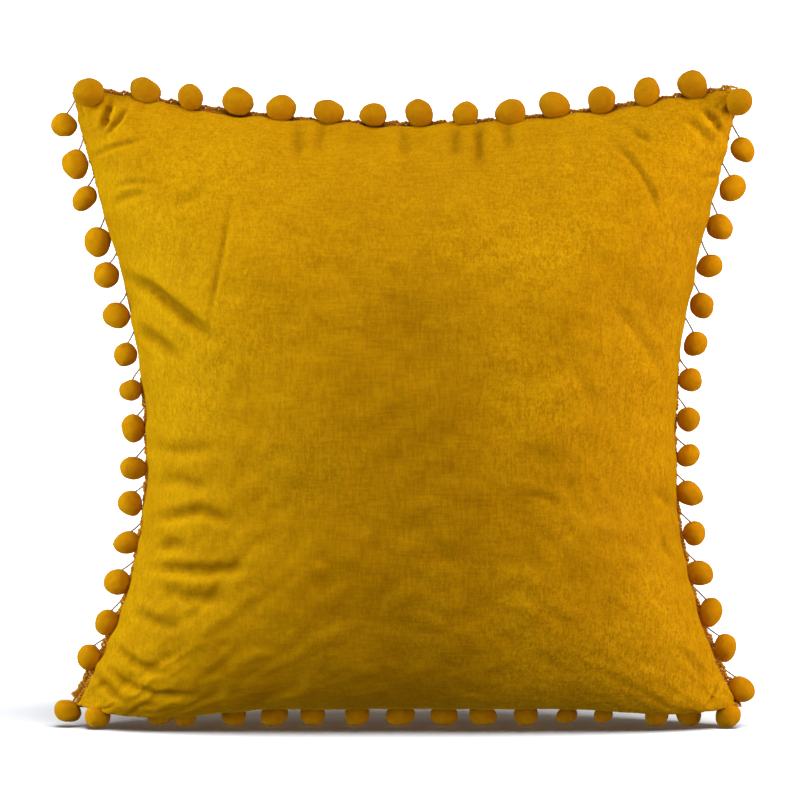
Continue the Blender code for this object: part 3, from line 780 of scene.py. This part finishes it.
def seam_line(count, inset):
    """Evenly spaced points round the outline and the outward direction at each."""
    steps = np.linspace(-1, 1, 400, endpoint=False)
    ones = np.ones_like(steps)
    u = np.concatenate([steps, ones, -steps, -ones])
    v = np.concatenate([-ones, steps, ones, -steps])
    x, z = outline(u, v, inset)
    line = np.stack([x, np.zeros_like(x), z], -1)
    gaps = np.linalg.norm(np.roll(line, -1, 0) - line, axis=1)
    run = np.concatenate([[0], np.cumsum(gaps)])
    looped = np.concatenate([line, line[:1]])
    place = np.linspace(0, run[-1], count, endpoint=False)
    even = np.stack([np.interp(place, run, looped[:, k]) for k in range(3)], -1)
    tangent = np.roll(even, -1, 0) - np.roll(even, 1, 0)
    tangent /= np.linalg.norm(tangent, axis=1, keepdims=True)
    outward = np.cross([0.0, 1.0, 0.0], tangent)
    return even, outward, place, run[-1]


def add_braid(yarn):
    """A gimp braid: three strands that loop over each other, and a stitched cord along its foot."""
    turns = 266
    line, outward, place, length = seam_line(turns * 14, 0.0)
    everything, faces, base = [], [], 0
    top = np.clip((outward[:, 2] - 0.3) / 0.3, 0, 1)
    low = np.clip((-0.3 - outward[:, 2]) / 0.3, 0, 1)
    loose = np.clip((0.25 - line[:, 2]) / 0.03, 0, 1) * (1 - low)
    stand = 0.0014 + 0.0040 * top - 0.0008 * low + 0.0016 * loose
    spread = 0.0010 + 0.0012 * top - 0.0004 * low + 0.0009 * loose
    for strand in range(3):
        phase = place / length * turns * 2 * math.pi + strand * 2 * math.pi / 3
        wander = 0.24 * np.sin(phase * 0.19 + strand) + 0.16 * np.sin(phase * 0.43)
        across = stand + (np.sin(phase) + wander) * spread
        depth = 0.00095 * np.sin(2 * phase)
        path = line + outward * across[:, None]
        path[:, 1] += depth
        points, made = swept_tube(path, 0.00092, 6, True)
        everything.append(points)
        faces += [[i + base for i in face] for face in made]
        base += len(points)
    line, outward, place, length = seam_line(1500, 0.0)
    top = np.clip((outward[:, 2] - 0.3) / 0.3, 0, 1)
    line = line + outward * (0.0006 + 0.0032 * top)[:, None]
    points, made = swept_tube(line, 0.0007 + 0.0008 * top, 8, True)
    everything.append(points)
    faces += [[i + base for i in face] for face in made]
    return mesh_piece("seam_braid", np.concatenate(everything), faces, yarn)


yarn = braid_finish()
braid = add_braid(yarn)
stood_in(braid, PILLOW, "orange_felt", "pompom_trim")


# ---------------------------------------------------------------- felt pompoms


def felt_ball(rng, radius):
    """A ball of felt round the origin: egg-shaped, dented a little and not quite smooth."""
    ball = bmesh.new()
    bmesh.ops.create_icosphere(ball, subdivisions=4, radius=1.0)
    points = np.array([vertex.co for vertex in ball.verts])
    faces = [[vertex.index for vertex in face.verts] for face in ball.faces]
    ball.free()
    shift = rng.uniform(-50, 50, 3)
    lumps = np.array([noise.noise(Vector(p * 1.3 + shift)) for p in points])
    dimples = np.array([noise.noise(Vector(p * 4.2 + shift)) for p in points])
    fuzz = np.array([noise.noise(Vector(p * 15 + shift)) for p in points])
    reach = 1 + 0.075 * lumps + 0.020 * dimples + 0.010 * fuzz
    stretch = np.array([rng.uniform(0.86, 0.99), rng.uniform(0.88, 0.98), rng.uniform(1.0, 1.17)])
    axis = Matrix.Rotation(rng.uniform(-1.5, 1.5), 3, "Y") @ Matrix.Rotation(rng.uniform(-0.5, 0.5), 3, "X")
    egg = 1 + rng.uniform(0.03, 0.14) * points[:, 2:3] * np.array([1, 1, 0])
    shaped = points * reach[:, None] * stretch * egg
    return (shaped @ np.array(axis).T) * radius, faces


def thread_path(root, end, slack, rng):
    """A limp thread between two points, with a little sideways wander."""
    root, end = np.asarray(root, float), np.asarray(end, float)
    steps = np.linspace(0, 1, 14)[:, None]
    path = root + (end - root) * steps
    bow = np.sin(steps * math.pi) * slack
    side = np.array([rng.uniform(-1, 1), rng.uniform(-0.4, 0.4), -0.6])
    return path + bow * side


def add_pompom(name, body, nodes, centre, root, radius, felt, thread, rng, flatten=None):
    """A felt ball on its thread. flatten is the floor and the ceiling that it is pressed between."""
    ball, faces = felt_ball(rng, radius)
    if flatten:
        floor, ceiling = flatten
        height = ball[:, 2] + centre[2]
        middle = (floor + ceiling) / 2
        half = (ceiling - floor) / 2
        ball[:, 2] = middle - centre[2] + half * np.tanh((height - middle) / half * 0.9) / math.tanh(1.25)
        ball[:, 2] = np.clip(ball[:, 2], floor - centre[2], ceiling - centre[2])
    points = ball + np.asarray(centre)
    faces = [list(face) for face in faces]
    count = len(faces)
    if root is not None:
        root = np.asarray(root, float)
        aim = root - np.asarray(centre)
        aim /= np.linalg.norm(aim)
        lift = aim * 0.35 + np.array([0, 0, 0.65])
        end = np.asarray(centre) + lift / np.linalg.norm(lift) * radius * 0.82
        path = thread_path(root + aim * 0.0022, end, 0.0011, rng)
        tube, made = swept_tube(path, YARN_RADIUS, 6, False)
        faces += [[i + len(points) for i in face] for face in made]
        points = np.concatenate([points, tube])
    piece = mesh_piece(name, points, faces, felt)
    piece.data.materials.append(thread)
    for polygon in piece.data.polygons[count:]:
        polygon.material_index = 1
    stood_in(piece, body, "orange_felt", *nodes)


SHADES = ("deep", "mid", "light")
# Painted shade: the top pompoms take copies of the three felts with their colours darkened by this factor.
TOP_PAINTED_SHADE = 0.76
felts = [felt_finish(f"felt_{shade}", seed) for seed, shade in enumerate(SHADES)]
top_felts_painted_shade = [felt_finish(f"felt_painted_shade_top_{shade}", seed, TOP_PAINTED_SHADE) for seed, shade in enumerate(SHADES)]
thread = thread_finish()


def add_free_pompoms():
    """The pompoms of the top and the sides, each where its CAD node hangs."""
    rng = np.random.default_rng(12)
    for name in sorted(node for node in pivots if node.startswith("pompom_")):
        root = Vector(pivots[name])
        pole = max((vertex.co for vertex in frame["nodes"][name].data.vertices),
                   key=lambda place: (place - root).length)
        centre = pole + (root - pole).normalized() * POMPOM_RADIUS
        centre += Vector(rng.uniform(-0.001, 0.001, 3))
        if "_left_" in name or "_right_" in name:
            centre.z -= rng.uniform(0.0015, 0.0040)
        elif abs(root.x) < 0.2:
            centre += Vector((0, -PERCH_FORWARD, -rng.uniform(0.0006, 0.0026)))
        elif root.x > 0:
            centre += Vector(RIGHT_CORNER_SHIFT)
        # The top pompoms take the darkened copies: painted shade.
        felt = (top_felts_painted_shade if "_top_" in name else felts)[int(rng.integers(0, 3))]
        radius = POMPOM_RADIUS * (rng.uniform(0.95, 1.04) if "_top_" in name else rng.uniform(0.86, 0.98))
        add_pompom(f"felt_{name}", name, [name], centre, root, radius, felt, thread, rng)


# The bottom run from left to right: its places, and the two that are tucked under the cover
PRESSED_COUNT, PRESSED_FIRST, PRESSED_LAST = 17, -0.217, 0.2095
PRESSED_SHIFTS = (-0.003, -0.009, 0.003, -0.008, -0.002, -0.003, -0.004)
TUCKED = (12, 13)
STRAY = 14
# How far back each sits, and the floor and ceiling that it is pressed between
PRESSED_LIE = (0.0075, 0.0, 0.0142)
PRESSED_ENDS = {0: (-0.001, 0.0024, 0.0190), 1: (-0.0105, 0.0, 0.0165), 16: (-0.008, 0.0, 0.0160)}


def add_pressed_pompoms():
    """The bottom run, squeezed between the pillow and the floor."""
    rng = np.random.default_rng(33)
    for i in range(PRESSED_COUNT):
        x = PRESSED_FIRST + (PRESSED_LAST - PRESSED_FIRST) * i / (PRESSED_COUNT - 1)
        x += PRESSED_SHIFTS[i] if i < len(PRESSED_SHIFTS) else rng.uniform(-0.002, 0.002)
        if i == STRAY:
            x += 0.008
        back, floor, ceiling = PRESSED_ENDS.get(i, PRESSED_LIE)
        centre = Vector((x, back + rng.uniform(-0.0015, 0.0005), (floor + ceiling) / 2))
        felt = felts[int(rng.integers(0, 3))]
        radius = TUCKED_RADIUS if i in TUCKED else PRESSED_RADIUS
        name = f"felt_pressed_{i + 1:02d}"
        add_pompom(name, PILLOW, [], centre, None, radius, felt, thread, rng, flatten=(floor, ceiling))


add_free_pompoms()
add_pressed_pompoms()


# ---------------------------------------------------------------- zip and label


def add_coil(label, across, coil):
    """One side of a nylon coil: a row of turns, each a small leaning loop."""
    low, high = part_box(f"zipper_coil_{label}")
    pitch = 0.0011
    turns = int((high.x - low.x - 0.001) / pitch)
    middle_y, middle_z = (low.y + high.y) / 2, (low.z + high.z) / 2
    reach_y, reach_z = (high.y - low.y) / 2 - 0.0002, (high.z - low.z) / 2 - 0.0002
    phase = np.arange(turns * 10 + 1) / 10 * 2 * math.pi
    x = low.x + 0.0005 + phase / (2 * math.pi) * pitch
    path = np.stack([
        x,
        middle_y + across * reach_y * np.cos(phase),
        middle_z + reach_z * np.sin(phase),
    ], -1)
    tangent = np.gradient(path, axis=0)
    tangent /= np.linalg.norm(tangent, axis=1, keepdims=True)
    first = np.cross(tangent, [1.0, 0.0, 0.0])
    first /= np.linalg.norm(first, axis=1, keepdims=True)
    second = np.cross(tangent, first)
    angles = np.linspace(0, 2 * math.pi, 5, endpoint=False)
    ring = first[:, None] * np.cos(angles)[None, :, None] + second[:, None] * np.sin(angles)[None, :, None]
    points = (path[:, None] + ring * 0.0002).reshape(-1, 3)
    index = np.arange(len(points)).reshape(len(path), 5)
    faces = np.stack([index[:-1], np.roll(index[:-1], -1, 1), np.roll(index[1:], -1, 1), index[1:]], -1)
    faces = faces.reshape(-1, 4).tolist() + [index[0, ::-1].tolist(), index[-1].tolist()]
    piece = mesh_piece(f"coil_{label}", points, faces, coil)
    stood_in(piece, PILLOW, "zip_coil", f"zipper_coil_{label}")


coil = coil_finish()
metal = metal_finish()
tape = woven_finish("zip_tape", (0.34, 0.165, 0.004), (0.60, 0.34, 0.02), 3000, 0.8, Sheen_Weight=0.2)
label_cloth = label_finish()
add_coil("front", -1, coil)
add_coil("back", 1, coil)
for node, finish in (
    ("zipper_tape_front", tape),
    ("zipper_tape_back", tape),
    ("zipper_stop_left", metal),
    ("zipper_stop_right", metal),
    ("zipper_slider", metal),
    ("zipper_pull", metal),
    ("care_label", label_cloth),
):
    piece = frame["nodes"][node]
    piece.data.materials.clear()
    piece.data.materials.append(finish)


# ---------------------------------------------------------------- studio


def add_light(name, location, aim, size, power, colour, height=None):
    light = bpy.data.lights.new(name, "AREA")
    light.shape = "RECTANGLE"
    light.size = size
    light.size_y = height or size
    light.energy = power
    light.color = colour
    lamp = bpy.data.objects.new(name, light)
    lamp.location = location
    lamp.rotation_euler = (Vector(aim) - Vector(location)).to_track_quat("-Z", "Y").to_euler()
    bpy.context.scene.collection.objects.link(lamp)
    return lamp


def add_studio():
    """A white floor and sweep, dim surroundings, and soft lights to both sides, above and behind."""
    paper = Finish("studio_paper", (0.93, 0.93, 0.93), 0.9, Specular_IOR_Level=0.0)
    grain = paper.noise(900, 2)
    paper.colour(paper.ramp(grain, (0.3, (0.88, 0.91, 0.96)), (0.7, (0.90, 0.93, 0.98))))
    paper.shader.inputs["Emission Color"].default_value = (1, 1, 1, 1)
    axes = paper.add("SeparateXYZ")
    paper.join(paper.place, axes.inputs[0])
    squares = [paper.math("MULTIPLY", axes.outputs[axis], axes.outputs[axis]) for axis in ("X", "Y")]
    away = paper.math("ADD", squares[0], paper.math("MULTIPLY", squares[1], 4.0))
    paper.join(paper.span(away, 0.10, 0.60, 0.02, 1.0), paper.shader.inputs["Emission Strength"])
    wall = Finish("studio_wall", (0.93, 0.93, 0.93), 0.9, Specular_IOR_Level=0.0)
    grain = wall.noise(900, 2)
    wall.colour(wall.ramp(grain, (0.3, (0.92, 0.92, 0.92)), (0.7, (0.94, 0.94, 0.94))))
    wall.shader.inputs["Emission Color"].default_value = (1, 1, 1, 1)
    wall.shader.inputs["Emission Strength"].default_value = 1.0
    sweep_start, sweep_radius = 1.6, 1.2
    profile = [(sweep_start, 0.0)]
    for step in range(1, 13):
        angle = math.pi / 2 * step / 12
        profile.append((sweep_start + sweep_radius * math.sin(angle), sweep_radius * (1 - math.cos(angle))))
    profile.append((sweep_start + sweep_radius, 4.0))
    points = [(x, y, z) for y, z in profile for x in (-4.0, 4.0)]
    faces = [(2 * i, 2 * i + 1, 2 * i + 3, 2 * i + 2) for i in range(len(profile) - 1)]
    sweep = mesh_piece("studio_sweep", points, faces, wall.material)
    points = [(-4.0, -3.5, 0.0), (4.0, -3.5, 0.0), (4.0, sweep_start, 0.0), (-4.0, sweep_start, 0.0)]
    floor = mesh_piece("studio_floor", points, [(0, 1, 2, 3)], paper.material)
    lit = bpy.data.collections.new("lit_by_floor_light")
    for part in (sweep, floor):
        part.visible_diffuse = False
        part.visible_glossy = False
        lit.objects.link(part)
    world = bpy.data.worlds.new("studio")
    world.use_nodes = True
    background = world.node_tree.nodes["Background"]
    background.inputs["Color"].default_value = (1, 1, 1, 1)
    background.inputs["Strength"].default_value = 0.13
    bpy.context.scene.world = world
    lamps = [
        add_light("key_left", (-1.15, -0.36, 0.30), (0, 0, 0.20), 0.5, 16, (0.84, 1.0, 0.70), 1.1),
        add_light("key_right", (1.15, -0.36, 0.30), (0, 0, 0.20), 0.5, 15, (1.0, 0.89, 0.66), 1.1),
        add_light("overhead", (0.0, -0.45, 1.05), (0, 0.0, 0.32), 0.6, 5.2, (1, 1, 1)),
        add_light("low_left", (-0.75, -0.80, 0.06), (-0.13, 0, 0.04), 0.35, 3.6, (0.95, 1.0, 0.75)),
        add_light("low_right", (0.80, -0.70, 0.06), (0.15, 0, 0.04), 0.35, 2.4, (1.0, 0.9, 0.7)),
        add_light("rear", (0.3, 1.5, 0.7), (0, 0, 0.2), 0.8, 9, (1, 1, 1)),
    ]
    over_floor = add_light("floor_light", (0.40, -0.9, 2.0), (0.05, 0, 0), 2.0, 100, (1, 1, 1))
    over_floor.light_linking.receiver_collection = lit
    spared = bpy.data.collections.new("floor_spared_by_keys")
    spared.objects.link(floor)
    spared.collection_objects[0].light_linking.link_state = "EXCLUDE"
    for lamp in lamps:
        lamp.light_linking.receiver_collection = spared


add_studio()

camera = bpy.data.cameras.new("camera")
camera.lens = 124.6
camera.sensor_width = 36
view = bpy.data.objects.new("camera", camera)
view.location = (-0.0042, -1.8, 0.2126)
view.rotation_euler = (math.pi / 2, 0, 0)
bpy.context.scene.collection.objects.link(view)
bpy.context.scene.camera = view
bpy.context.scene.view_settings.view_transform = "Standard"
